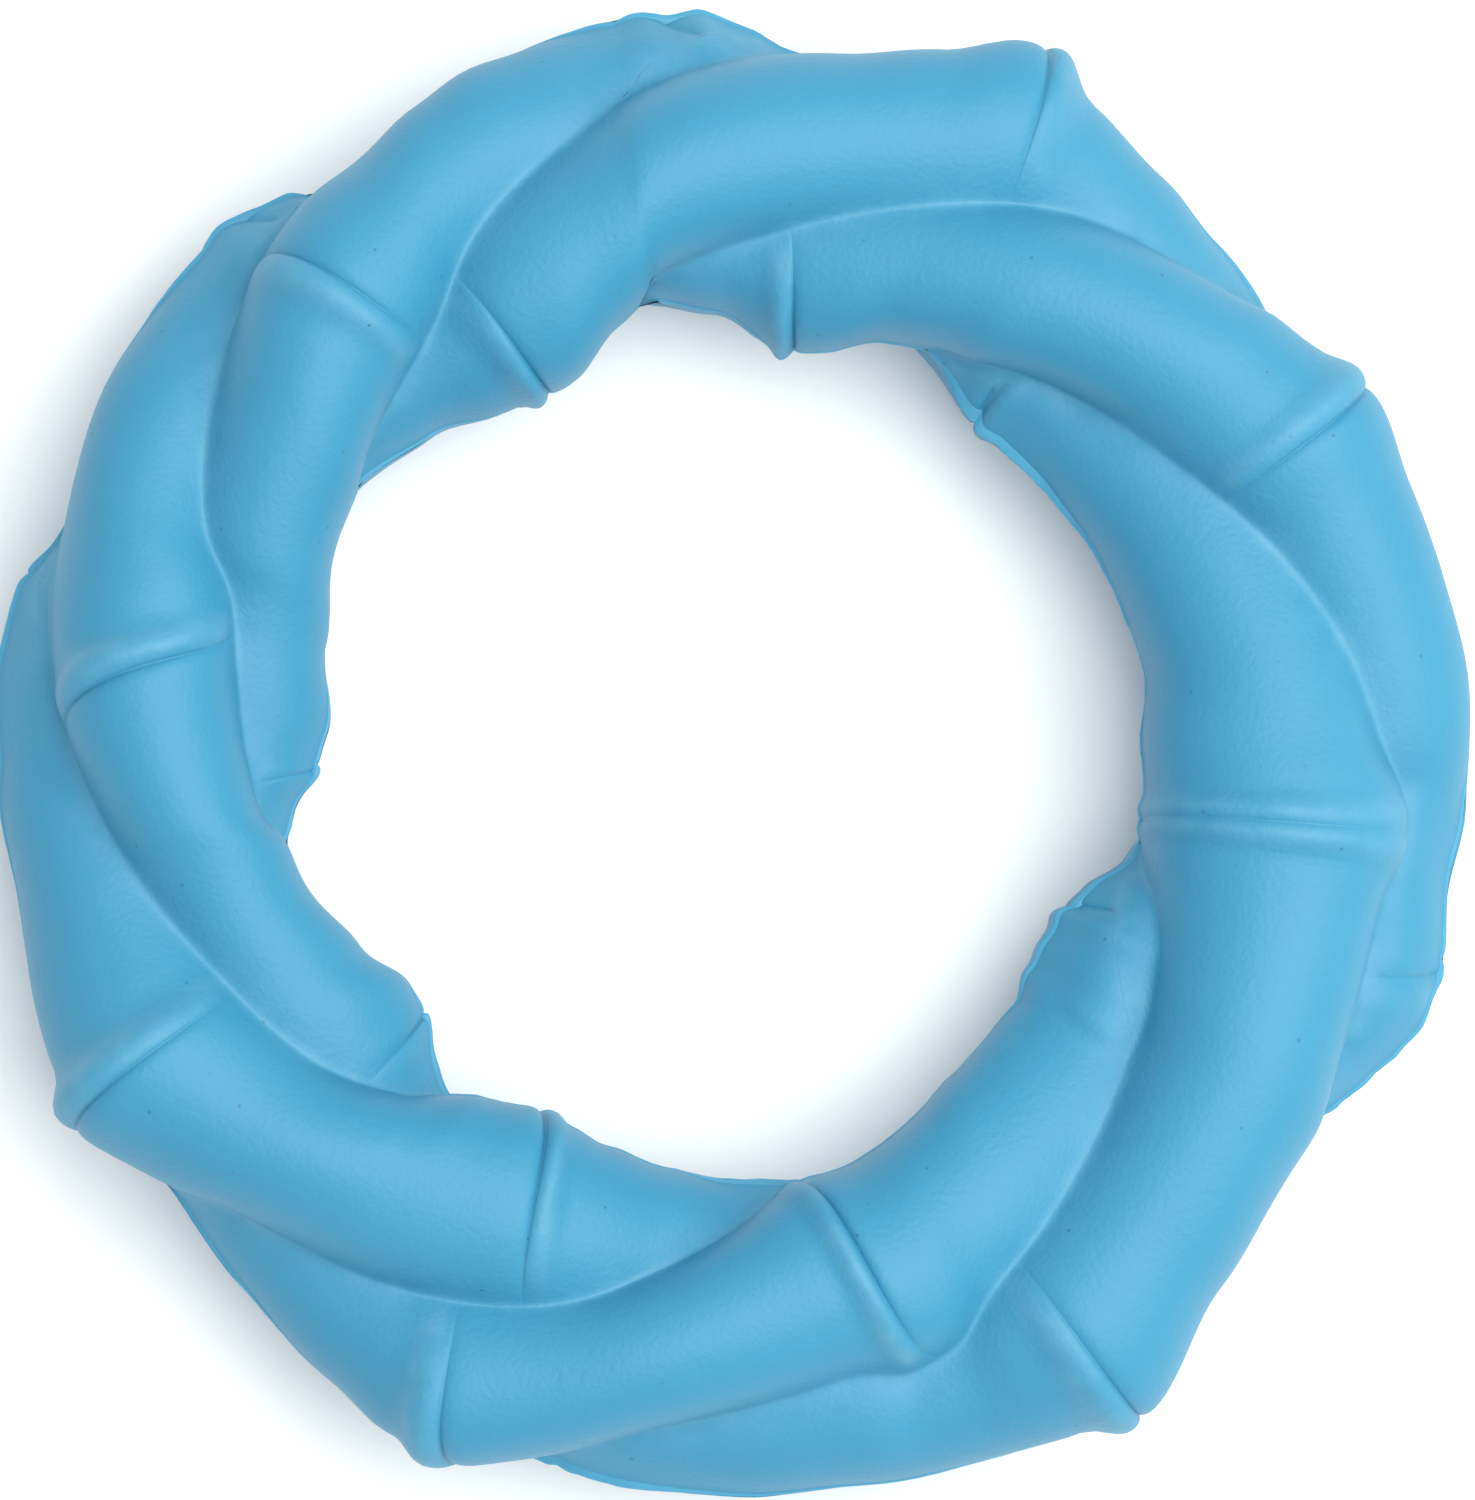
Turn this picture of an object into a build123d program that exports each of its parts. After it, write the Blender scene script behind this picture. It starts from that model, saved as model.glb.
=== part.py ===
import os
from math import cos, exp, pi, radians, sin, sqrt

from build123d import *

# Rubber chew ring: three bamboo canes twisted round each other, moulded in two halves.
# The ring lies flat, +Z up. Clock angles run clockwise from +Y round the ring, in degrees.
# Bearings run round the section of the twist: 0 outermost, 90 top, 180 innermost, 270 bottom.

# The ring and the twist
ring_radius = 57.2          # ring's centre to the middle of the twist
crown_radius = 16.2         # middle of the twist to a cane's back, between its knuckles
crease_radius = 10.6        # middle of the twist to the crease between two canes, on top
crown_roundness = 1.9       # power of a cane's rounded back: 1.9 is close to a round rod
edge_power = 8              # the higher, the nearer to the edge a crease starts to come up
bond_gap = 0.1              # clearance on each side of a crease wall
rest_land_depth = 0.5       # how much the lowest backs are flattened where the ring lies

# The knuckles of the bamboo
knuckle_flare = 2.0         # how far a plain knuckle stands above the cane
flare_length = 4.6          # how far along the cane a knuckle's flare dies out
flare_tip = 1.2             # rounding of the flare's end
groove_depth = 1.3          # depth of the thin groove round a knuckle
groove_half_width = 0.9
rim_height = 0.45           # the thin raised rim on the far side of a groove
rim_place = 1.6
rim_half_width = 0.9
push_length = 5.0           # how far along a crease a knuckle pushes it aside
swell_height = 4.0          # unit of the slow swells of single canes

# The seam of the two mould halves, which is the widest line of the toy
flash_thickness = 0.7
flash_lip = 0.5             # how far the trimmed flash stands out of the canes
full_overhang = 0.6         # an overhang of this size is filled in full
fill_blend = 0.3            # rounding where the filling meets a cane
draft_slope = 0.7           # slope of the filling, from the seam up or down to the canes

# How finely the forms are drawn
station_step = 3.0          # degrees along the ring between two sections, on every cane alike
crown_points = 9            # points across a cane's back
flash_points = 150          # points round each edge of the flash
overrun = 20.0              # how far a cutting block runs past the canes

# Clock angle of each crease on the upper side, in degrees, at bearings 0, 30, ... 180
crease_angle = (
    (4.2, -8.0, -16.3, -27.8, -36.2, -48.3, -56.0),
    (53.5, 46.3, 31.5, 19.1, 4.6, -9.2, -12.5),
    (125.0, 115.6, 87.5, 71.2, 57.0, 39.0, 27.0),
    (197.5, 188.0, 171.5, 152.8, 137.4, 120.6, 102.5),
    (235.5, 227.3, 212.5, 198.3, 189.2, 180.8, 171.5),
    (288.5, 273.5, 262.0, 249.7, 233.3, 224.8, 219.3),
    (326.0, 313.5, 303.4, 292.4, 284.5, 264.0, 258.3),
)
# How much each crease is shallower at the outer and the inner edge, as a share of crease_radius
crease_edge_shares = (
    (0.17, -0.18), (0.00, -0.22), (-0.03, 0.02), (0.39, 0.46), (0.27, 0.22), (0.24, 0.06), (0.15, -0.08),
)
# Where a knuckle pushes a crease aside: crease, clock angle, and turn of the bearing in degrees
crease_push_angle = ((2, 96.0, -19.0), (3, 162.5, -17.0))
cane_count = len(crease_angle)
knot_angle = 30.0                               # degrees of bearing between two knots of a crease
overhang_angles = (0.0, 10.0, 20.0, 30.0, 40.0)  # bearings away from the seam where a cane may overhang
wall_fade_angle = 15.0                          # bearing over which the wall below an overhang dies out
fill_fade_angle = 45.0                          # bearing at which the sloped filling has sunk
fill_fade_share = 0.5                           # by this share of its radius
upper_knots = len(crease_angle[0]) - 1          # steps from outermost to innermost, over the top
turn_knots = 2 * upper_knots
creases_back_per_turn = 3                       # a crease comes up again this many creases back

# Knuckles of each cane: clock angle, flare as a share of a plain knuckle's, and the rim's share, which is
# below 0 where the rim is on the side of the lower clock angles, and 0 for a rim on both sides
upper_knuckle_shares = (
    ((-28.5, 1.0, -0.8), (24.0, 1.9, 0.7)),
    ((7.6, 0.6, -1.1), (60.3, 1.1, -0.9), (109.5, 1.2, 0.4)),
    ((36.7, 0.9, 0.5), (97.8, 0.9, 0.0), (149.4, 2.3, 1.2), (193.0, 0.3, 0.5)),
    ((115.5, 0.6, 0.4), (168.3, 1.0, 1.0), (203.5, 2.5, 1.5)),
    ((206.5, 0.9, -0.8), (241.8, 2.6, 1.6), (283.0, 1.3, 0.5)),
    ((230.5, 0.8, -0.4), (277.0, 0.9, 1.4), (318.5, 1.2, 0.5)),
    ((269.0, 0.7, -0.3), (318.5, 1.0, -1.0), (357.5, 1.4, 0.5)),
)
# Knuckles that only the under side has, on the canes that run far there
under_knuckle_shares = ((), (), (), ((70.0, 0.3, 1.0),), ((158.0, 0.3, 1.0),), (), ((237.0, 0.3, 1.0),))

# Slow swells and waists of each cane: clock angle, and share of swell_height
swell_shares = (
    ((-75.0, 0.0), (-58.0, -0.8), (-52.0, -0.95), (-44.0, -0.75), (-35.0, -0.3), (-29.0, -0.2),
     (-22.0, 0.15), (-15.0, -0.3), (-10.0, -0.5), (-4.0, -0.4), (8.0, -0.3), (16.0, 0.1), (21.0, 0.45),
     (24.5, 0.3), (29.0, -0.15), (36.0, -0.35), (43.0, -0.65), (53.0, -0.8), (72.0, 0.0)),
    ((-25.0, 0.0), (-12.0, -1.3), (-3.0, -0.9), (6.0, -0.15), (12.0, -0.2), (20.0, -0.65),
     (26.0, -0.65), (32.0, -0.1), (46.0, 0.0), (53.0, -0.3), (58.5, 0.2), (61.5, 0.25), (68.0, 0.0),
     (76.0, 0.0), (84.0, 0.12), (94.0, 0.0), (102.0, -0.15), (108.0, -0.15), (115.0, -0.4),
     (122.0, -1.1), (127.0, -1.2), (138.0, -0.7), (152.0, 0.0)),
    ((24.0, 0.0), (33.0, 0.2), (42.0, 0.15), (50.0, 0.05), (62.0, -0.15), (77.0, -0.1), (90.0, 0.6),
     (102.0, 0.5), (118.0, 0.0), (128.0, -0.6), (138.0, -0.2), (146.0, 0.3), (151.0, 0.1),
     (160.0, 0.15), (166.0, 0.2), (172.0, 0.1), (180.0, 0.3), (193.0, 0.5), (208.0, 0.0)),
    ((97.0, 0.0), (104.0, 0.75), (110.0, 1.5), (116.0, 1.6), (121.0, 1.5), (126.0, 1.3), (132.0, 0.9),
     (146.0, 0.75), (158.0, 0.45), (170.0, 0.0), (203.0, 0.0), (207.5, 0.2), (213.0, 0.0),
     (223.0, -0.25), (231.0, -0.35), (240.0, 0.0)),
    ((172.0, 0.0), (183.0, -0.3), (190.0, -0.25), (198.0, 0.0), (206.0, 0.3), (211.0, 0.5),
     (217.0, 0.5), (222.0, -0.1), (233.0, 0.05), (239.0, 0.2), (247.0, 0.15), (259.0, -0.2),
     (268.0, 0.1), (277.0, 0.6), (283.0, 0.5), (287.0, -0.25), (292.0, -0.2), (305.0, 0.0)),
    ((205.0, 0.0), (223.0, -0.45), (228.0, -0.25), (231.0, -0.05), (236.0, 0.1), (243.0, -0.3),
     (254.0, -0.8), (262.0, -0.6), (270.0, 0.0), (280.0, 0.0), (289.0, -0.25), (300.0, -0.15),
     (307.0, -0.25), (315.0, 0.0), (320.0, -0.25), (324.0, -1.0), (328.0, -1.1), (340.0, 0.0)),
    ((225.0, 0.0), (246.0, -0.55), (262.0, -0.85), (269.0, -0.25), (275.0, 0.0), (285.0, -0.4),
     (298.0, -0.8), (307.0, -0.6), (313.0, -0.1), (321.0, -0.05), (327.0, -0.45), (333.0, -0.15),
     (338.0, 0.0), (347.0, -0.1), (356.0, 0.35), (370.0, 0.0)),
)

mid_height = crown_radius - rest_land_depth     # the mould's parting plane above the rest plane


def knot_clock(crease, knot):
    """Clock angle of a crease at a whole knot, counted on through as many turns as needed."""
    turns, step = divmod(knot, turn_knots)
    crease -= creases_back_per_turn * turns
    if step > upper_knots:
        start = knot_clock(crease, upper_knots)
        end = knot_clock(crease, turn_knots)
        return start + (end - start) * (step - upper_knots) / (turn_knots - upper_knots)
    laps, row = divmod(crease, cane_count)
    return crease_angle[row][step] + 360.0 * laps


def crease_clock(crease, bearing):
    """Clock angle of a crease at any bearing, on a smooth curve through its knots."""
    knot = int(bearing // knot_angle)
    share = bearing / knot_angle - knot
    before, start, end, after = [knot_clock(crease, knot + i) for i in (-1, 0, 1, 2)]
    leave, arrive = (end - before) / 2, (after - start) / 2
    bend = 2 * (start - end) + leave + arrive
    rise = 3 * (end - start) - 2 * leave - arrive
    return start + share * (leave + share * (rise + share * bend))


def pushed_aside(crease, clock):
    """Turn of a crease's bearing where a knuckle pushes it aside."""
    laps, row = divmod(crease, cane_count)
    turn = 0.0
    for pushed, place_clock, angle in crease_push_angle:
        if pushed == row:
            distance = along(clock - place_clock - 360.0 * laps)
            turn += angle / (1 + (distance / push_length) ** 4)
    return turn


def crease_bearing(crease, clock):
    """Bearing at which a crease passes a clock angle: the clock falls as the bearing grows."""
    low, high = -360.0, 720.0
    while high - low > 1e-6:
        middle = (low + high) / 2
        if crease_clock(crease, middle) > clock:
            low = middle
        else:
            high = middle
    return (low + high) / 2 + pushed_aside(crease, clock)


def stretches(cane):
    """Rows of the tables along a cane: its own, and that of the cane it comes up as, with its lap."""
    laps, row = divmod(cane - 1 - creases_back_per_turn, cane_count)
    return ((cane - 1, 0.0), (row, 360.0 * laps))


def knuckles_of(cane):
    """Every knuckle on a cane's own stretch: clock angle, flare share and rim share."""
    knuckles = list(under_knuckle_shares[cane - 1])
    for row, lap in stretches(cane):
        knuckles += [(clock + lap, flare, rim) for clock, flare, rim in upper_knuckle_shares[row]]
    return knuckles


def rim_sides(rim):
    """Sides of a knuckle's groove that have a rim: 1 towards higher clock angles, -1 towards lower."""
    if rim == 0:
        return (-1, 1)
    return (1,) if rim > 0 else (-1,)


def swell_of(cane, clock):
    """Slow swell or waist of a cane, eased from one entry of its table to the next."""
    swell = 0.0
    for row, lap in stretches(cane):
        table = swell_shares[row]
        for (start, low), (end, high) in zip(table, table[1:]):
            if start <= clock - lap < end:
                ease = (1 - cos(pi * (clock - lap - start) / (end - start))) / 2
                swell += swell_height * (low + (high - low) * ease)
    return swell


def along(clock_difference):
    """Length along the middle of the twist for a difference in clock angle."""
    return ring_radius * radians(clock_difference)


def crown_of(cane, clock, bearing):
    """Radius of a cane's back: swells, which are even on top, flared knuckles, their grooves and rims."""
    radius = crown_radius + swell_of(cane, clock) * cos(radians(bearing)) ** 2
    for knuckle, share, rim in knuckles_of(cane):
        distance = along(clock - knuckle)
        eased = sqrt(distance ** 2 + flare_tip ** 2) - flare_tip
        radius += knuckle_flare * share * exp(-eased / flare_length)
        radius -= groove_depth * max(0.0, 1 - abs(distance) / groove_half_width)
        for side in rim_sides(rim):
            radius += rim_height * max(0.0, 1 - abs(side * distance - rim_place) / rim_half_width)
    return radius


def crease_depth(crease, bearing):
    """Radius of a crease at a bearing: its own at the outer and the inner edge, alike on top."""
    crease -= creases_back_per_turn * int((bearing + 90.0) // 360.0)
    outer, inner = crease_edge_shares[crease % cane_count]
    lean = cos(radians(bearing))
    return crease_radius * (1 + (outer if lean > 0 else inner) * lean ** edge_power)


def back_radius(cane, clock, share, low, high):
    """Radius of a cane's back across it: share 0 and 1 are the creases at bearings low and high."""
    floor = crease_depth(cane - 1, low) * (1 - share) + crease_depth(cane, high) * share
    across = abs(2 * share - 1) ** crown_roundness
    crown = crown_of(cane, clock, low + (high - low) * share)
    return floor + (crown - floor) * (1 - across)


def place(clock, bearing, radius):
    """Point of the ring at a clock angle, a bearing round the twist and a radius from its middle."""
    reach = ring_radius + radius * cos(radians(bearing))
    height = mid_height + radius * sin(radians(bearing))
    return Vector(reach * sin(radians(clock)), reach * cos(radians(clock)), height)


def edge_radius(clock, bearing):
    """Radius of the canes' surface at a clock angle and a bearing."""
    cane = -cane_count
    while crease_clock(cane, bearing) < clock:
        cane += 1
    low, high = crease_bearing(cane - 1, clock), crease_bearing(cane, clock)
    share = (bearing - low) / (high - low)
    laps = (cane - 1) // cane_count
    return back_radius(cane - laps * cane_count, clock - 360.0 * laps, share, low, high)


def parting_line(middle, up):
    """For clock angles round the seam: reach there, then furthest reach and its bearing above and below."""
    line = []
    for i in range(flash_points):
        clock = 360.0 * i / flash_points
        entry = [edge_radius(clock, middle)]
        for side in (up, -up):
            reach = [edge_radius(clock, middle + side * a) * cos(radians(a)) for a in overhang_angles]
            furthest = max(reach)
            entry += [furthest, overhang_angles[reach.index(furthest)]]
        line.append(entry)
    return line


def at_seam(line, clock):
    """Entry of a parting line at any clock angle."""
    step = clock % 360.0 * flash_points / 360.0
    here = int(step) % flash_points
    share = step - int(step)
    return [a + (b - a) * share for a, b in zip(line[here], line[(here + 1) % flash_points])]


def fill_overhang(clock, bearing, radius):
    """The mould opens upward and downward, so each half is filled out to be widest at the seam."""
    for middle, up in ((0.0, 1), (180.0, -1)):
        turned = (bearing - middle + 180.0) % 360.0 - 180.0
        away = abs(turned)
        if away < max(overhang_angles):
            edge, upper, upper_crest, lower, lower_crest = at_seam(seam_lines[middle], clock)
            same, crest, other = lower, lower_crest, upper
            if turned * up > 0:
                same, crest, other = upper, upper_crest, lower
            wall = same * (1 - (max(away - crest, 0.0) / wall_fade_angle) ** 2)
            slope = other / (cos(radians(away)) + draft_slope * sin(radians(away)))
            fill = max(wall, slope * (1 - fill_fade_share * (away / fill_fade_angle) ** 4))
            filled = (radius + fill + sqrt((radius - fill) ** 2 + fill_blend ** 2)) / 2
            need = min(1.0, (max(upper, lower) - edge) / full_overhang)
            radius += (filled - radius) * need * need * (3 - 2 * need)
    return radius


def section(cane, clock):
    """Closed outline of a cane where a plane through the ring's axis cuts it."""
    low = crease_bearing(cane - 1, clock)
    high = crease_bearing(cane, clock)
    margin = bond_gap / crease_radius * 180.0 / pi
    back = []
    for i in range(crown_points):
        share = i / (crown_points - 1)
        bearing = low + margin + (high - low - 2 * margin) * share
        radius = fill_overhang(clock, bearing, back_radius(cane, clock, share, low, high))
        back.append(place(clock, bearing, radius))
    heart = place(clock, (low + high) / 2, bond_gap / sin(radians(high - low) / 2))
    return Wire([Spline(*back), Line(back[-1], heart), Line(heart, back[0])])


def stations(cane, first, last):
    """Clock angles of the sections from first to last: even steps, and each knuckle's groove and rim."""
    shoulder = groove_half_width / ring_radius * 180.0 / pi
    steps = range(int(first // station_step) + 1, int(last // station_step) + 1)
    bends = []
    for knuckle, _, rim in knuckles_of(cane):
        corners = [-groove_half_width, 0.0, groove_half_width]
        for side in rim_sides(rim):
            corners += [side * rim_place, side * (rim_place + rim_half_width)]
        bends += [knuckle + corner / ring_radius * 180.0 / pi for corner in corners]
    clear = [s * station_step for s in steps
             if all(abs(s * station_step - b) > shoulder / 2 for b in bends)]
    inside = [c for c in clear + bends if first + shoulder / 2 < c < last - shoulder / 2]
    return sorted([first, last, *inside])


def cane_solid(cane, first, last, bottom, top):
    """A cane from one clock angle to another, kept between two heights."""
    outlines = [section(cane, clock) for clock in stations(cane, first, last)]
    cane_body = Solid.make_loft(outlines, ruled=True)
    reach = ring_radius + crown_radius + overrun
    block = Pos(0, 0, (bottom + top) / 2) * Box(2 * reach, 2 * reach, top - bottom)
    return cane_body & block


def upper_cane(cane):
    """The stretch of a cane that crosses the upper side, down to the flash."""
    first, last = crease_clock(cane - 1, 180.0), crease_clock(cane, 0.0)
    top = mid_height + crown_radius + overrun
    return cane_solid(cane, first, last, mid_height + flash_thickness / 2, top)


def lower_cane(cane):
    """The stretch of a cane that crosses the under side, from the rest plane up to the flash."""
    first, last = crease_clock(cane - 1, 360.0), crease_clock(cane, 180.0)
    return cane_solid(cane, first, last, 0.0, mid_height - flash_thickness / 2)


def parting_flash():
    """The thin sheet of rubber squeezed out between the mould halves, trimmed to a small lip."""
    edges = []
    for bearing in (0.0, 180.0):
        rim = []
        for i, (_, upper, _, lower, _) in enumerate(seam_lines[bearing]):
            point = place(360.0 * i / flash_points, bearing, max(upper, lower) + flash_lip)
            rim.append(Vector(point.X, point.Y, mid_height - flash_thickness / 2))
        edges.append(Wire([Spline(*rim, periodic=True)]))
    sheet = Face(edges[0], [edges[1]])
    return extrude(sheet, flash_thickness, dir=(0, 0, 1))


seam_lines = {0.0: parting_line(0.0, 1), 180.0: parting_line(180.0, -1)}


def main():
    pieces = {"parting_flash": parting_flash()}
    for cane in range(1, cane_count + 1):
        pieces[f"upper_cane_{cane}"] = upper_cane(cane)
        pieces[f"lower_cane_{cane}"] = lower_cane(cane)

    boxes = [piece.bounding_box() for piece in pieces.values()]
    middle_x = (min(box.min.X for box in boxes) + max(box.max.X for box in boxes)) / 2
    middle_y = (min(box.min.Y for box in boxes) + max(box.max.Y for box in boxes)) / 2
    os.makedirs("parts", exist_ok=True)
    for name, piece in pieces.items():
        export_step(Pos(-middle_x, -middle_y, 0) * piece, f"parts/{name}.step")


main()
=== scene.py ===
from math import degrees, pi

import bpy
import numpy as np
from mathutils import Matrix, Vector


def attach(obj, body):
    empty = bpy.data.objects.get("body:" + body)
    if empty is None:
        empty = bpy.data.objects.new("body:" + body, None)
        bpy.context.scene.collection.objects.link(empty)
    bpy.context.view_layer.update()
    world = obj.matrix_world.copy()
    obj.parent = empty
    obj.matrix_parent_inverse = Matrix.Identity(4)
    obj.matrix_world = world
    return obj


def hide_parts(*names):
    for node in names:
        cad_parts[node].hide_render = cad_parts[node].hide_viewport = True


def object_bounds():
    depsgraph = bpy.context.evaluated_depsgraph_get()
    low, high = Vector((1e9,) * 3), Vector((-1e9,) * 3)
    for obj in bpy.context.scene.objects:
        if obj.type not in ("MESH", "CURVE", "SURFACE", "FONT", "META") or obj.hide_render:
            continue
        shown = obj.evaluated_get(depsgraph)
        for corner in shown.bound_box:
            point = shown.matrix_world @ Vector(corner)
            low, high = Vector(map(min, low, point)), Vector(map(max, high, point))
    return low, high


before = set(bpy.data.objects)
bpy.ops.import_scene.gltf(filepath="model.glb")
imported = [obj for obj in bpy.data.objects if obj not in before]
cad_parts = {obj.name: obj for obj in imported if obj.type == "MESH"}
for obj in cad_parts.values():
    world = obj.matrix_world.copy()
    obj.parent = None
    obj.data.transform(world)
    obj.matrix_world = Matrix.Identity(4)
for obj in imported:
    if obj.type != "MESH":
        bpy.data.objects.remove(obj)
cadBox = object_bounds()
print("frame:", len(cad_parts), "CAD nodes")

# Rubber chew ring: bamboo canes twisted round each other, moulded in two halves.
# Lengths are in mm and angles in degrees. Clock angles run clockwise from +Y round the ring.
# Bearings run round the section of the twist: 0 outermost, 90 top, 180 innermost, 270 bottom.
mm = 0.001

twist = {
    "centre": (0.143, -0.444),  # the ring's own centre in the CAD frame, whose origin is the box's middle
    "ringRadius": 57.2,  # ring's centre to the middle of the twist
    "crownRadius": 16.2,  # middle of the twist to a cane's back
    "creaseRadius": 10.1,  # middle of the twist to the crease between two canes, on top
    "roundness": 1.9,  # power of a cane's rounded back
    "creaseFillet": 0.8,  # how far the mould's rounding fills the bottom of a crease
    "midHeight": 15.7,  # the parting plane above the floor
    "creasesBack": 3,  # a crease comes up again this many creases back
    "knotAngle": 30.0,  # bearing between two entries of the next table
    "creases": (  # clock angle of each crease over the top, from outermost to innermost
        (4.2, -8.0, -16.3, -27.8, -36.2, -48.3, -56.0),
        (53.5, 46.3, 31.5, 19.1, 4.6, -9.2, -12.5),
        (125.0, 115.6, 87.5, 71.2, 57.0, 39.0, 27.0),
        (197.5, 188.0, 171.5, 152.8, 137.4, 120.6, 102.5),
        (235.5, 227.3, 212.5, 198.3, 189.2, 180.8, 171.5),
        (288.5, 273.5, 262.0, 249.7, 233.3, 224.8, 219.3),
        (326.0, 313.5, 303.4, 292.4, 284.5, 264.0, 258.3),
    ),
    "pushes": (  # where a knuckle pushes a crease aside: crease, clock angle, turn of the bearing
        (2, 96.0, -19.0), (3, 162.5, -17.0),
    ),
    "pushLength": 5.0,  # how far along the crease a push dies out
    "creaseEdges": (  # how much shallower each crease is at the outer and the inner edge
        (0.17, -0.18), (0.00, -0.22), (-0.03, 0.02), (0.39, 0.46),
        (0.27, 0.22), (0.24, 0.06), (0.15, -0.08),
    ),
    "edgePower": 8,  # the higher, the nearer to the edge a crease starts to come up
}

knuckle = {
    "flare": 2.0,  # how far a plain knuckle stands above the cane
    "flareLength": 4.6,  # how far along the cane the flare dies out
    "tip": 1.2,  # rounding of the flare's end
    "grooveDepth": 0.65,  # a thin groove
    "grooveWidth": 0.5,
    "faintGroove": 0.6,  # share of that depth where there is next to no rim
    "endRound": 0.7,  # the cane rounds off on its near side of the groove
    "endLength": 1.5,
    "rimHeight": 0.5,  # and starts again with a thin raised rim, then a shallow valley
    "rimPlace": 1.5,
    "rimWidth": 1.15,
    "doubleRim": 0.8,  # rim share of a knuckle that has a rim on both sides
    "valleyDepth": 0.25,
    "valleyPlace": 3.6,
    # each cane's knuckles: clock angle at its middle, flare share, lean across it, and rim share,
    # which is below 0 where the rim is on the side of the lower clock angles, and 0 for a rim on both sides
    "upper": (
        ((-28.5, 1.0, 6.0, -0.8), (24.0, 1.9, 4.0, 0.7)),
        ((7.6, 0.6, 5.0, -1.1), (60.3, 1.1, 5.0, -0.9), (105.8, 1.2, 8.0, 0.4)),
        ((36.7, 0.9, 4.0, 0.5), (97.8, 0.9, 3.0, 0.0), (149.4, 2.3, 5.0, 1.2), (193.0, 0.3, 5.0, 0.5)),
        ((115.5, 0.6, 6.0, 0.4), (168.3, 1.0, 12.0, 1.0), (203.5, 2.5, 8.0, 1.5)),
        ((206.5, 0.9, 10.0, -0.8), (241.8, 2.6, 6.0, 1.6), (283.0, 1.3, 5.0, 0.5)),
        ((230.5, 0.8, 5.0, -0.4), (277.0, 0.9, 12.0, 1.4), (312.7, 1.2, 14.0, 0.5)),
        ((269.0, 0.7, 6.0, -0.3), (318.5, 1.0, 8.0, -1.0), (350.2, 1.6, 14.0, 0.6)),
    ),
    "under": ((), (), (), ((70.0, 0.3, 5.0, 1.0),), ((158.0, 0.3, 5.0, 1.0),), (), ((237.0, 0.3, 5.0, 1.0),)),
}

swell = {
    "height": 4.0,
    "canes": (  # slow swells and waists of each cane: clock angle, share of the height
        ((-75.0, 0.0), (-58.0, -0.8), (-52.0, -0.95), (-44.0, -0.75), (-35.0, -0.3), (-29.0, -0.2),
         (-22.0, 0.15), (-15.0, -0.3), (-10.0, -0.5), (-4.0, -0.4), (8.0, -0.3), (16.0, 0.1),
         (21.0, 0.45), (24.5, 0.3), (29.0, -0.15), (36.0, -0.35), (43.0, -0.65), (53.0, -0.8),
         (72.0, 0.0)),
        ((-25.0, 0.0), (-12.0, -1.3), (-3.0, -0.9), (6.0, -0.15), (12.0, -0.2), (20.0, -0.65),
         (26.0, -0.65), (32.0, -0.1), (46.0, 0.0), (53.0, -0.3), (58.5, 0.2), (61.5, 0.25), (68.0, 0.0),
         (76.0, 0.0), (84.0, 0.12), (94.0, 0.0), (102.0, -0.32), (108.0, -0.2), (111.5, 0.12),
         (114.0, -0.05), (117.0, -0.38), (120.0, -0.7), (123.5, -1.3), (127.0, -1.2), (138.0, -0.7),
         (152.0, 0.0)),
        ((24.0, 0.0), (33.0, 0.2), (42.0, 0.15), (50.0, 0.05), (62.0, -0.15), (77.0, -0.1), (90.0, 0.6),
         (102.0, 0.5), (118.0, 0.0), (128.0, -0.6), (138.0, -0.2), (146.0, 0.3), (151.0, 0.1),
         (160.0, 0.15), (166.0, 0.2), (172.0, 0.1), (180.0, 0.3), (193.0, 0.5), (208.0, 0.0)),
        ((97.0, 0.0), (104.0, 0.75), (110.0, 1.5), (116.0, 1.6), (121.0, 1.5), (126.0, 1.3),
         (132.0, 0.9), (146.0, 0.75), (158.0, 0.45), (170.0, 0.0), (203.0, 0.0), (207.5, 0.2),
         (213.0, 0.0), (223.0, -0.25), (231.0, -0.35), (240.0, 0.0)),
        ((172.0, 0.0), (183.0, -0.3), (190.0, -0.25), (198.0, 0.0), (206.0, 0.3), (211.0, 0.5),
         (217.0, 0.5), (222.0, -0.1), (233.0, 0.05), (239.0, 0.2), (247.0, 0.15), (259.0, -0.2),
         (268.0, 0.1), (277.0, 0.6), (283.0, 0.5), (287.0, -0.25), (292.0, -0.2), (305.0, 0.0)),
        ((205.0, 0.0), (223.0, -0.45), (228.0, -0.25), (231.0, -0.05), (236.0, 0.1), (243.0, -0.3),
         (254.0, -0.8), (262.0, -0.6), (270.0, 0.0), (280.0, 0.0), (289.0, -0.25), (300.0, -0.15),
         (307.0, -0.3), (312.0, -0.36), (316.0, -0.2), (321.0, -0.12), (324.0, -1.15), (328.0, -1.1),
         (340.0, 0.0)),
        ((225.0, 0.0), (246.0, -0.55), (262.0, -0.85), (269.0, -0.25), (275.0, 0.0), (285.0, -0.4),
         (298.0, -0.8), (307.0, -0.6), (313.0, -0.1), (321.0, -0.05), (327.0, -0.45), (333.0, -0.15),
         (338.0, 0.0), (343.0, -0.15), (349.5, -0.25), (354.0, -0.1), (357.5, 0.65), (361.0, 0.5),
         (364.0, 0.1), (370.0, 0.0)),
    ),
}

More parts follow.
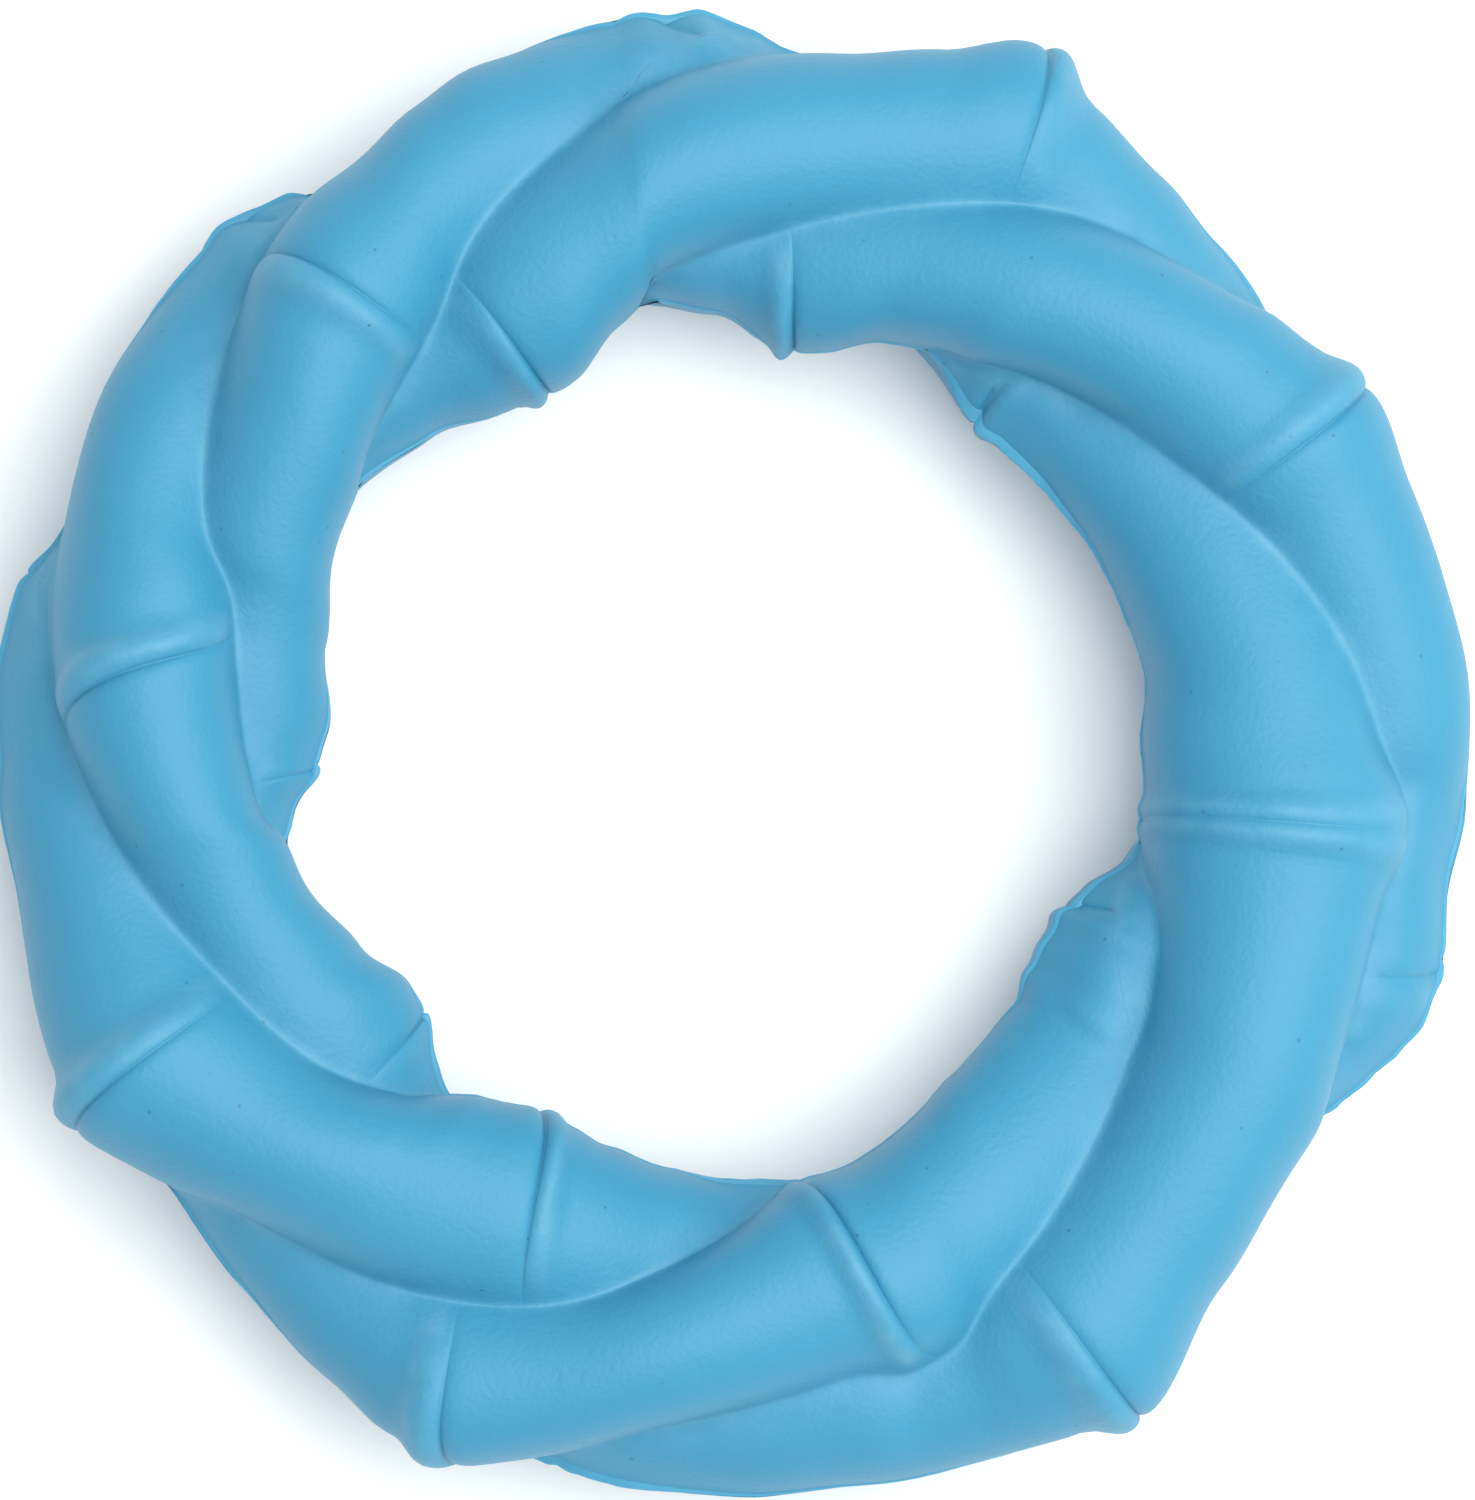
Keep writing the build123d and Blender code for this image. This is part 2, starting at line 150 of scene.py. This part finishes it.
caneCount = len(twist["creases"])
upperKnots = len(twist["creases"][0]) - 1  # knots from outermost to innermost, over the top
turnKnots = 2 * upperKnots
fineBearings = np.arange(-360.0, 720.5, 0.5)
creaseCurves = {}


def knotClock(crease, knot):  # clock angle of a crease at a whole knot, through any number of turns
    turns, step = divmod(knot, turnKnots)
    crease -= twist["creasesBack"] * turns
    if step > upperKnots:
        start, end = knotClock(crease, upperKnots), knotClock(crease, turnKnots)
        return start + (end - start) * (step - upperKnots) / (turnKnots - upperKnots)
    laps, row = divmod(crease, caneCount)
    return twist["creases"][row][step] + 360.0 * laps


def creaseCurve(crease):  # clock angles of a crease at fineBearings, smooth through its knots
    if crease not in creaseCurves:
        knots = np.floor(fineBearings / twist["knotAngle"]).astype(int)
        share = fineBearings / twist["knotAngle"] - knots
        clocks = {k: knotClock(crease, k) for k in range(knots.min() - 1, knots.max() + 3)}
        before, start, end, after = [np.array([clocks[k + i] for k in knots]) for i in (-1, 0, 1, 2)]
        leave, arrive = (end - before) / 2, (after - start) / 2
        bend = 2 * (start - end) + leave + arrive
        rise = 3 * (end - start) - 2 * leave - arrive
        creaseCurves[crease] = start + share * (leave + share * (rise + share * bend))
    return creaseCurves[crease]


def creaseClock(crease, bearing):
    return float(np.interp(bearing, fineBearings, creaseCurve(crease)))


def creaseBearing(crease, clocks):  # the clock falls as the bearing grows
    bearings = np.interp(clocks, creaseCurve(crease)[::-1], fineBearings[::-1])
    laps, row = divmod(crease, caneCount)
    for pushed, clock, turn in twist["pushes"]:
        if pushed == row:
            away = np.radians(clocks - clock - 360.0 * laps) * twist["ringRadius"]
            bearings = bearings + turn / (1 + (away / twist["pushLength"]) ** 4)
    return bearings


def stretches(cane):  # table rows along a cane: its own, and the cane that it comes up as
    laps, row = divmod(cane - 1 - twist["creasesBack"], caneCount)
    return ((cane - 1, 0.0), (row, 360.0 * laps))


def knucklesOf(cane):
    found = list(knuckle["under"][cane - 1])
    for row, lap in stretches(cane):
        found += [(clock + lap, *rest) for clock, *rest in knuckle["upper"][row]]
    return sorted(found)


def leanOf(cane, rows):  # rows of the mesh lean as the knuckles do
    clocks, _, leans, _ = zip(*knucklesOf(cane))
    return np.interp(rows, clocks, leans)


def swellOf(cane, clocks):
    total = np.zeros_like(clocks)
    for row, lap in stretches(cane):
        table = swell["canes"][row]
        for (start, low), (end, high) in zip(table, table[1:]):
            inside = (clocks - lap >= start) & (clocks - lap < end)
            ease = (1 - np.cos(pi * (clocks - lap - start) / (end - start))) / 2
            total += np.where(inside, swell["height"] * (low + (high - low) * ease), 0.0)
    return total


def grooveOf(cane, rows):
    depth = np.zeros_like(rows)
    for clock, _, _, rim in knucklesOf(cane):
        away = np.abs(np.radians(rows - clock)) * twist["ringRadius"]
        share = min(knuckle["faintGroove"] + abs(rim) / 2, 1.0)  # a faint knuckle has a shallow groove
        depth += knuckle["grooveDepth"] * share * np.exp(-away / knuckle["grooveWidth"])
    return depth


def rimOf(cane, rows):  # how far a row lies on the raised rim of a knuckle, 0 to 1 or more
    total = np.zeros_like(rows)
    for clock, _, _, rim in knucklesOf(cane):
        along = np.radians(rows - clock) * twist["ringRadius"]
        for side in (np.sign(rim),) if rim else (-1.0, 1.0):
            rise = np.exp(-((side * along - knuckle["rimPlace"]) / knuckle["rimWidth"]) ** 2)
            total += (abs(rim) or knuckle["doubleRim"]) * rise
    return total


def crownOf(cane, rows, clocks, bearings):  # radius of a cane's back, with its swells and knuckles
    radius = twist["crownRadius"] + swellOf(cane, clocks) * np.cos(np.radians(bearings)) ** 2  # even on top
    radius = radius - grooveOf(cane, rows) + knuckle["rimHeight"] * rimOf(cane, rows)
    for clock, share, _, rim in knucklesOf(cane):
        along = np.radians(rows - clock) * twist["ringRadius"]
        away = np.abs(along)
        soft = np.sqrt(away ** 2 + knuckle["tip"] ** 2) - knuckle["tip"]
        radius += knuckle["flare"] * share * np.exp(-soft / knuckle["flareLength"])
        for side in (np.sign(rim),) if rim else (-1.0, 1.0):
            dip = np.exp(-((side * along - knuckle["valleyPlace"]) / knuckle["rimWidth"]) ** 2)
            radius -= (abs(rim) or knuckle["doubleRim"]) * knuckle["valleyDepth"] * dip
            if rim:
                near = np.where(side * along < 0, knuckle["endRound"], 0.0)
                radius -= near * np.exp(-away / knuckle["endLength"])
    return radius


def creaseDepth(crease, bearings):
    edges = np.array(twist["creaseEdges"])
    turned = (crease - twist["creasesBack"] * np.floor((bearings + 90.0) / 360.0).astype(int)) % caneCount
    tilt = np.cos(np.radians(bearings))
    share = np.where(tilt > 0, edges[turned, 0], edges[turned, 1])
    return twist["creaseRadius"] * (1 + share * tilt ** twist["edgePower"])


def caneSkin(cane, rows, shares):  # clocks, bearings, radii and height above the crease floor
    rows = rows + np.zeros_like(shares)
    clocks = rows + leanOf(cane, rows) * (shares - 0.5)
    low, high = creaseBearing(cane - 1, clocks), creaseBearing(cane, clocks)
    bearings = low + (high - low) * shares
    floorRadius = creaseDepth(cane - 1, low) * (1 - shares) + creaseDepth(cane, high) * shares
    crown = crownOf(cane, rows, clocks, bearings)
    hump = (crown - floorRadius) * (1 - np.abs(2 * shares - 1) ** twist["roundness"])
    return clocks, bearings, floorRadius + np.sqrt(hump ** 2 + twist["creaseFillet"] ** 2), hump


def place(clocks, bearings, radii):
    reach = twist["ringRadius"] + radii * np.cos(np.radians(bearings))
    height = twist["midHeight"] + radii * np.sin(np.radians(bearings))
    across = twist["centre"][0] + reach * np.sin(np.radians(clocks))
    upward = twist["centre"][1] + reach * np.cos(np.radians(clocks))
    return np.stack([across, upward, height], axis=-1)


def sectionRadii(clocks, bearing):  # radius of the canes' surface round the ring, at one bearing
    starts = [creaseClock(crease, bearing) for crease in range(-caneCount, 2 * caneCount + 1)]
    canes = np.searchsorted(starts, clocks) - caneCount
    radii = np.zeros_like(clocks)
    for cane in np.unique(canes):
        here = canes == cane
        laps = (cane - 1) // caneCount
        own, at = cane - laps * caneCount, clocks[here] - 360.0 * laps
        low, high = creaseBearing(own - 1, at), creaseBearing(own, at)
        shares = (bearing - low) / (high - low)
        rows = at
        for _ in range(4):  # the rows that pass these clock angles at these shares
            rows = at - leanOf(own, rows) * (shares - 0.5)
        radii[here] = caneSkin(own, rows, shares)[2]
    return radii


flash = {
    "thickness": 0.7,  # where it leaves the canes
    "filletReach": 0.4,  # it leaves the canes with a small rounding
    "filletHeight": 0.6,
    # share of the lip, and half its thickness there
    "profile": ((0.0, 0.42), (0.25, 0.36), (0.55, 0.27), (0.85, 0.19), (1.0, 0.06)),
    # clock angle, and how far it stands out there
    "outerLip": ((0.0, 0.08), (60.0, 0.08), (185.0, 0.1), (193.0, 0.6), (197.0, 0.5), (204.0, 0.12),
                 (280.0, 0.15)),
    "innerLip": ((0.0, 0.12), (28.0, 0.2), (33.0, 0.7), (38.0, 0.6), (50.0, 0.4), (70.0, 0.3), (90.0, 0.15),
                 (170.0, 0.15), (225.0, 0.2), (240.0, 0.06), (300.0, 0.06)),
    "ragged": 0.7,  # how much the trimming wanders
    "raggedWaves": ((9.0, 0.6), (2.5, 0.25), (0.8, 0.15)),  # length and share of each wander
    "wave": 0.12,  # how far its edge bends up and down
    "waveLength": 12.0,
    "root": 2.5,  # how far it runs into the canes
    "points": 1440,
    "seed": 11,
}

mould = {
    "turns": np.arange(0.0, 41.0, 5.0),  # bearings away from the parting plane where a cane may overhang
    "draft": 0.7,  # slope of the filling that runs from the parting edge up to the canes
    "wallFade": 15.0,  # bearing over which the wall below an overhang dies out
    "fadeAngle": 45.0,  # bearing at which the filling has sunk
    "fadeShare": 0.5,  # by this share of its radius
    "fillFrom": 0.3,  # an overhang of this size is filled in full
    "blend": 0.3,  # rounding where the filling meets a cane
    "crestBlend": 0.15,  # rounding where the crest of the overhang jumps to another bearing
    "carveFrom": 0.9,  # a filling of this depth has the grooves in full
    "carveEdge": 1.5,  # and only this far above the bottom of a crease
}

edgeClocks = np.arange(flash["points"]) * 360.0 / flash["points"]


def partingLine(middle, up):  # reach where it parts, then furthest reach and its bearing, above and below
    lines = [sectionRadii(edgeClocks, middle)]
    turns = mould["turns"]
    for side in (up, -up):
        reach = np.array([sectionRadii(edgeClocks, middle + side * t) * np.cos(np.radians(t)) for t in turns])
        weight = np.exp((reach - reach.max(axis=0)) / mould["crestBlend"])
        lines += [reach.max(axis=0), (weight * turns[:, None]).sum(axis=0) / weight.sum(axis=0)]
    return lines


partingLines = {0.0: partingLine(0.0, 1.0), 180.0: partingLine(180.0, -1.0)}
print("parting line:", len(edgeClocks), "points on each edge")


def fillOverhang(clocks, bearings, radii):  # each half of the mould is widest where it parts
    for middle, up in ((0.0, 1.0), (180.0, -1.0)):
        turned = (bearings - middle + 180.0) % 360.0 - 180.0
        away = np.minimum(np.abs(turned), mould["fadeAngle"])
        above = turned * up > 0
        edge, upper, upperCrest, lower, lowerCrest = [
            np.interp(clocks, edgeClocks, line, period=360.0) for line in partingLines[middle]]
        same, crest, other = np.where(above, (upper, upperCrest, lower), (lower, lowerCrest, upper))
        wall = same * (1 - (np.maximum(away - crest, 0.0) / mould["wallFade"]) ** 2)
        angle = np.radians(away)
        fade = 1 - mould["fadeShare"] * (away / mould["fadeAngle"]) ** 4
        slope = other / (np.cos(angle) + mould["draft"] * np.sin(angle)) * fade
        fill = np.maximum(wall, slope)
        filled = (radii + fill + np.sqrt((radii - fill) ** 2 + mould["blend"] ** 2)) / 2
        need = np.clip((np.maximum(upper, lower) - edge) / mould["fillFrom"], 0.0, 1.0)
        radii = radii + (filled - radii) * need * need * (3 - 2 * need)
    return radii


grid = {
    "rowStep": 0.9,  # between two rows of the mesh along a cane
    "across": 56,  # points across a cane's back, closer together at the creases
    "nearKnuckle": (0.0, 0.1, 0.22, 0.38, 0.6, 0.9, 1.3, 1.8, 2.4, 3.1),  # rows beside a groove
    "heart": 0.15,  # how far a cane's inner edge stays off the middle of the twist
    "dustReach": 1.4,  # how far pale dust reaches out of a crease
}


def makePiece(name, points, faces, smoothFaces, material, node):
    mesh = bpy.data.meshes.new(name)
    inBox = np.clip(points * mm, np.array(cadBox[0]), np.array(cadBox[1]))  # kept in the CAD box
    mesh.from_pydata(inBox.tolist(), [], faces)
    mesh.polygons.foreach_set("use_smooth", smoothFaces)
    mesh.update()
    piece = bpy.data.objects.new(name, mesh)
    bpy.context.scene.collection.objects.link(piece)
    mesh.materials.append(material)
    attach(piece, "root")
    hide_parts(node)
    return piece


def setAttribute(piece, name, values):  # a number on each point, for the materials
    attribute = piece.data.attributes.new(name, "FLOAT", "POINT")
    attribute.data.foreach_set("value", np.asarray(values, dtype=np.float32))


def caneRows(cane, first, last):  # clock angles of the mesh rows, closer together at the knuckles
    step = degrees(grid["rowStep"] / twist["ringRadius"])
    near = np.degrees(np.array(grid["nearKnuckle"]) / twist["ringRadius"])
    rows = np.arange(first + step, last - step / 2, step)
    for clock, *_ in knucklesOf(cane):
        rows = rows[np.abs(rows - clock) > near[-1] + step / 3]
        rows = np.concatenate([rows, clock + near, clock - near[1:]])
    return np.unique(rows[(rows > first + step / 2) & (rows < last - step / 2)])


def makeCane(name, cane, bottom, top, lowest, highest, material):
    startClock, endClock = creaseClock(cane - 1, top), creaseClock(cane, bottom)
    first = startClock + leanOf(cane, startClock) / 2
    last = endClock - leanOf(cane, endClock) / 2
    rows = caneRows(cane, first, last)[:, None]

    # keep each row between the parting planes
    probe = np.linspace(0.0, 1.0, 241)
    probed = caneSkin(cane, rows, np.tile(probe, (len(rows), 1)))[1]
    begin = np.array([np.interp(bottom, line, probe) for line in probed])[:, None]
    end = np.array([np.interp(top, line, probe) for line in probed])[:, None]
    spread = (1 - np.cos(np.linspace(0.0, pi, grid["across"]))) / 2
    clocks, bearings, radii, hump = caneSkin(cane, rows, end + (begin - end) * spread)
    filled = fillOverhang(clocks, bearings, radii)
    carved = np.clip((filled - radii) / mould["carveFrom"], 0.0, 1.0)
    carved = carved * np.clip(hump / mould["carveEdge"], 0.0, 1.0)
    radii = filled - grooveOf(cane, rows) * carved  # the filling has the grooves too, except in the creases

    tipClocks, tipBearings = np.array([startClock, endClock]), np.array([top, bottom])
    tipRadii = np.array([creaseDepth(cane - 1, np.array(top)), creaseDepth(cane, np.array(bottom))])
    tipRadii = fillOverhang(tipClocks, tipBearings, tipRadii + twist["creaseFillet"])
    tips = place(tipClocks, tipBearings, tipRadii)
    skin = place(clocks, bearings, radii)
    hearts = place(rows[:, 0], (bearings[:, 0] + bearings[:, -1]) / 2, np.full(len(rows), grid["heart"]))
    points = np.concatenate([tips, skin.reshape(-1, 3), hearts])
    points[:, 2] = np.clip(points[:, 2], lowest, highest)

    count, across = clocks.shape
    at = np.arange(count * across).reshape(count, across) + 2
    heart = np.arange(count) + 2 + count * across
    faces = []
    for j in range(across - 1):
        faces.append((0, at[0, j], at[0, j + 1]))
        faces.append((1, at[-1, j + 1], at[-1, j]))
        faces += [(at[i, j], at[i + 1, j], at[i + 1, j + 1], at[i, j + 1]) for i in range(count - 1)]
    skinCount = len(faces)
    for i in range(count - 1):  # the hidden walls between this cane and its neighbours
        faces.append((at[i, 0], heart[i], heart[i + 1], at[i + 1, 0]))
        faces.append((at[i, -1], at[i + 1, -1], heart[i + 1], heart[i]))
    faces += [(0, heart[0], at[0, 0]), (0, at[0, -1], heart[0]),
              (1, at[-1, 0], heart[-1]), (1, heart[-1], at[-1, -1])]
    smoothFaces = [True] * skinCount + [False] * (len(faces) - skinCount)

    piece = makePiece(name + "_skin", points, faces, smoothFaces, material, name)
    dust = np.exp(-hump / grid["dustReach"]).reshape(-1)
    setAttribute(piece, "creaseDust", np.concatenate([[1.0, 1.0], dust, np.ones(count)]))
    # knuckle rims painted paler: a painted highlight, partly wear
    paleRims = np.broadcast_to(np.minimum(rimOf(cane, rows), 1.0), clocks.shape).reshape(-1)
    setAttribute(piece, "rimWearAndHighlight", np.concatenate([[0.0, 0.0], paleRims, np.zeros(count)]))
    return piece


def makeFlash(material):
    rng = np.random.default_rng(flash["seed"])

    def wander(length):  # smooth random numbers from -1 to 1 round the ring, new ones each length in mm
        knots = int(2 * pi * twist["ringRadius"] / length)
        values = rng.uniform(-1.0, 1.0, knots)
        spots = np.arange(flash["points"]) * knots / flash["points"]
        k = np.floor(spots).astype(int)
        ease = (1 - np.cos(pi * (spots - k))) / 2
        return values[k % knots] * (1 - ease) + values[(k + 1) % knots] * ease

    rings = []
    for bearing, lips, side in ((0.0, flash["outerLip"], 1.0), (180.0, flash["innerLip"], -1.0)):
        edge = np.maximum(partingLines[bearing][1], partingLines[bearing][3])
        lip = np.interp(edgeClocks, *zip(*lips), period=360.0)
        wandered = sum(share * wander(length) for length, share in flash["raggedWaves"])
        lip = lip * (1 + flash["ragged"] * wandered)
        bend = flash["wave"] * wander(flash["waveLength"])
        upper = [(-flash["root"], flash["thickness"] / 2, 0.0)]
        upper += [(-flash["filletReach"], flash["filletHeight"], 0.0)]
        upper += [(lip * out, rise, out) for out, rise in flash["profile"]]
        section = upper + [(out, -rise, bent) for out, rise, bent in upper[::-1]]
        if side < 0:
            section = section[::-1]
        for out, rise, bent in section:
            points = place(edgeClocks, np.full(flash["points"], bearing), edge + out)
            points[:, 2] += rise + bend * bent
            rings.append(points)
    points = np.concatenate(rings)
    faces, smoothFaces = [], []
    for r in range(len(rings)):
        here, there = r * flash["points"], (r + 1) % len(rings) * flash["points"]
        for i in range(flash["points"]):
            after = (i + 1) % flash["points"]
            faces.append((here + i, here + after, there + after, there + i))
            smoothFaces.append(False)
    return makePiece(
        "parting_flash_lip", points, faces, smoothFaces, material, "parting_flash")


def linear(hexColour):  # sRGB hex to the linear colour that the shader takes
    channels = [int(hexColour[i:i + 2], 16) / 255 for i in (1, 3, 5)]
    return tuple(c / 12.92 if c <= 0.04045 else ((c + 0.055) / 1.055) ** 2.4 for c in channels) + (1.0,)


def addNode(tree, kind, values=None, links=None, **settings):
    node = tree.nodes.new(kind)
    for name, value in settings.items():
        setattr(node, name, value)
    for name, value in (values or {}).items():
        node.inputs[name].default_value = value
    for name, socket in (links or {}).items():
        tree.links.new(socket, node.inputs[name])
    return node


# Natural rubber, pressed in a matt-blasted steel mould: satin, soft broad highlights and a pale bloom
# at grazing angles, with faint clouds in the colour, a little pale dust in the creases, knuckle rims painted
# paler as a highlight with some wear, and dark specks that soft rubber picks up.
rubber = {
    "blue": "#368BAF",
    "deepBlue": "#3185AA",
    # pale colour of the crease dust, also painted on the knuckle rims as a highlight with some wear
    "dust": "#68A5C2",
    "dirt": "#27597A",
    "cloudSize": 14.0,  # clouds in the colour
    "grainSize": 0.6,  # blasted grain of the mould, drawn coarser than the real 0.1 mm so that it shows
    "peelSize": 3.5,  # slow unevenness of the moulded skin
    "speckSpacing": 5.0,
    "speckRadius": 0.24,
    "speckShare": 0.6,  # how much of the dirt's colour a speck has
    "dustAndRimHighlightShares": (0.1, 0.4),  # least and most of the pale colour: dust in the creases, painted highlight with some wear on the rims
    "grainBump": (0.8, 0.09),  # strength and height
    "peelBump": (0.25, 0.15),
    "roughness": (0.44, 0.56),
    "specular": 0.4,
    "ior": 1.52,
    "thinBlue": "#368AAE",
    "thinPale": "#4699BD",
    "thinCloudSize": 4.0,
    "thinRoughness": 0.5,
}


def mouldedRubber():
    material = bpy.data.materials.new("mouldedNaturalRubber")
    material.use_nodes = True
    tree = material.node_tree
    shader = tree.nodes["Principled BSDF"]
    spot = addNode(tree, "ShaderNodeTexCoord").outputs["Object"]
    clouds = addNode(tree, "ShaderNodeTexNoise", {"Scale": 1 / (rubber["cloudSize"] * mm), "Detail": 3.0},
                     {"Vector": spot}).outputs["Fac"]
    grain = addNode(tree, "ShaderNodeTexNoise", {"Scale": 1 / (rubber["grainSize"] * mm), "Detail": 3.0},
                    {"Vector": spot}).outputs["Fac"]
    peel = addNode(tree, "ShaderNodeTexNoise", {"Scale": 1 / (rubber["peelSize"] * mm), "Detail": 3.0},
                   {"Vector": spot}).outputs["Fac"]

    # colour: clouds, then dust that lies unevenly in the creases, and a painted highlight with some wear on
    # the knuckle rims
    base = addNode(tree, "ShaderNodeMix", {"A": linear(rubber["deepBlue"]), "B": linear(rubber["blue"])},
                   {"Factor": clouds}, data_type="RGBA").outputs["Result"]
    crease = addNode(tree, "ShaderNodeAttribute", attribute_name="creaseDust").outputs["Fac"]
    least, most = rubber["dustAndRimHighlightShares"]
    uneven = addNode(tree, "ShaderNodeMapRange",
                     {"From Min": 0.3, "From Max": 0.7, "To Min": least, "To Max": most},
                     {"Value": peel}).outputs["Result"]
    # pale paint on the knuckle rims: a painted highlight, partly wear
    rim = addNode(tree, "ShaderNodeAttribute", attribute_name="rimWearAndHighlight").outputs["Fac"]
    pale = addNode(tree, "ShaderNodeMath", None, {0: crease, 1: rim}, operation="MAXIMUM").outputs["Value"]
    dustAndRimHighlight = addNode(tree, "ShaderNodeMath", None, {0: pale, 1: uneven}, operation="MULTIPLY").outputs["Value"]
    base = addNode(tree, "ShaderNodeMix", {"B": linear(rubber["dust"])}, {"Factor": dustAndRimHighlight, "A": base},
                   data_type="RGBA").outputs["Result"]

    # specks are small balls
    specks = addNode(tree, "ShaderNodeTexVoronoi", {"Scale": 1 / (rubber["speckSpacing"] * mm)},
                     {"Vector": spot})
    speckEdge = rubber["speckRadius"] / rubber["speckSpacing"]
    dirt = addNode(tree, "ShaderNodeMapRange", {"From Min": speckEdge, "From Max": 0.5 * speckEdge,
                                                "To Min": 0.0, "To Max": rubber["speckShare"]},
                   {"Value": specks.outputs["Distance"]}).outputs["Result"]
    base = addNode(tree, "ShaderNodeMix", {"B": linear(rubber["dirt"])}, {"Factor": dirt, "A": base},
                   data_type="RGBA").outputs["Result"]
    tree.links.new(base, shader.inputs["Base Color"])

    low, high = rubber["roughness"]
    rough = addNode(tree, "ShaderNodeMapRange", {"To Min": low, "To Max": high}, {"Value": clouds})
    tree.links.new(rough.outputs["Result"], shader.inputs["Roughness"])
    strength, height = rubber["peelBump"]
    waves = addNode(tree, "ShaderNodeBump", {"Strength": strength, "Distance": height * mm}, {"Height": peel})
    strength, height = rubber["grainBump"]
    fine = addNode(tree, "ShaderNodeBump", {"Strength": strength, "Distance": height * mm},
                   {"Height": grain, "Normal": waves.outputs["Normal"]})
    tree.links.new(fine.outputs["Normal"], shader.inputs["Normal"])
    shader.inputs["IOR"].default_value = rubber["ior"]
    shader.inputs["Specular IOR Level"].default_value = rubber["specular"]
    return material


# The same rubber squeezed out as a thin skin: light passes through it, so it looks paler.
def thinRubber():
    material = bpy.data.materials.new("trimmedRubberSkin")
    material.use_nodes = True
    tree = material.node_tree
    shader = tree.nodes["Principled BSDF"]
    spot = addNode(tree, "ShaderNodeTexCoord").outputs["Object"]
    clouds = addNode(tree, "ShaderNodeTexNoise", {"Scale": 1 / (rubber["thinCloudSize"] * mm), "Detail": 3.0},
                     {"Vector": spot})
    base = addNode(tree, "ShaderNodeMix", {"A": linear(rubber["thinBlue"]), "B": linear(rubber["thinPale"])},
                   {"Factor": clouds.outputs["Fac"]}, data_type="RGBA").outputs["Result"]
    tree.links.new(base, shader.inputs["Base Color"])
    shader.inputs["Roughness"].default_value = rubber["thinRoughness"]
    shader.inputs["IOR"].default_value = rubber["ior"]
    return material


rubberSkin = mouldedRubber()
halfFlash = flash["thickness"] / 2
middle = twist["midHeight"]
for cane in range(1, caneCount + 1):
    makeCane(f"upper_cane_{cane}", cane, 0.0, 180.0, middle + halfFlash, np.inf, rubberSkin)
    makeCane(f"lower_cane_{cane}", cane, 180.0, 360.0, 0.0, middle - halfFlash, rubberSkin)
print("canes:", 2 * caneCount, "skins")
makeFlash(thinRubber())
print("flash: trimmed lip outside and inside")

studio = {
    "floorColour": "#F9F9F9",
    "floorSize": 3000.0,
    "floorRoughness": 0.9,
    "worldColour": "#F6FBFF",
    "worldStrength": 0.76,
    "keyPlace": (255.0, 25.0, 640.0),
    "keySize": 800.0,
    "keyColour": "#FFFCF2",
    "keyPower": 7.1,
    "photoSize": (1475, 1500),
    "photoScale": 0.1,  # mm for each pixel of the photograph, at the parting plane
    "cameraPlace": (-42.0, -28.0, 700.0),  # from the ring's centre
    "cameraAim": (0.05, 0.5, 0.0),
    "sensor": 36.0,
}


def studioFloor():
    half = studio["floorSize"] / 2 * mm
    mesh = bpy.data.meshes.new("studio_floor")
    corners = [(-half, -half, 0), (half, -half, 0), (half, half, 0), (-half, half, 0)]
    mesh.from_pydata(corners, [], [(0, 1, 2, 3)])
    ground = bpy.data.objects.new("studio_floor", mesh)
    bpy.context.scene.collection.objects.link(ground)
    paper = bpy.data.materials.new("paleStudioPaper")
    paper.use_nodes = True
    shader = paper.node_tree.nodes["Principled BSDF"]
    shader.inputs["Base Color"].default_value = linear(studio["floorColour"])
    shader.inputs["Roughness"].default_value = studio["floorRoughness"]
    mesh.materials.append(paper)


def aimAt(obj, target):  # looks at the target with +Y at the top
    backward = (obj.location - Vector(target)).normalized()
    right = Vector((0.0, 1.0, 0.0)).cross(backward).normalized()
    upward = backward.cross(right)
    obj.rotation_euler = Matrix((right, upward, backward)).transposed().to_euler()


def studioLights():
    world = bpy.data.worlds.new("studio_world")
    bpy.context.scene.world = world
    world.use_nodes = True
    background = world.node_tree.nodes["Background"]
    background.inputs["Color"].default_value = linear(studio["worldColour"])
    background.inputs["Strength"].default_value = studio["worldStrength"]
    data = bpy.data.lights.new("key_softbox", "AREA")
    data.shape = "SQUARE"
    data.size = studio["keySize"] * mm
    data.energy = studio["keyPower"]
    data.color = linear(studio["keyColour"])[:3]
    key = bpy.data.objects.new("key_softbox", data)
    bpy.context.scene.collection.objects.link(key)
    key.location = Vector(studio["keyPlace"]) * mm
    aimAt(key, (0.0, 0.0, twist["midHeight"] * mm))


def photoCamera():
    data = bpy.data.cameras.new("photo_camera")
    camera = bpy.data.objects.new("photo_camera", data)
    bpy.context.scene.collection.objects.link(camera)
    ring = Vector((*twist["centre"], twist["midHeight"]))
    camera.location = (ring + Vector(studio["cameraPlace"])) * mm
    aimAt(camera, (ring + Vector(studio["cameraAim"])) * mm)
    frameHeight = studio["photoSize"][1] * studio["photoScale"]
    data.sensor_fit = "VERTICAL"
    data.sensor_height = studio["sensor"]
    data.lens = studio["sensor"] * Vector(studio["cameraPlace"]).length / frameHeight
    data.clip_end = 20.0
    bpy.context.scene.camera = camera


studioFloor()
studioLights()
photoCamera()
bpy.context.scene.view_settings.view_transform = "Standard"
print("studio: floor, light and camera")
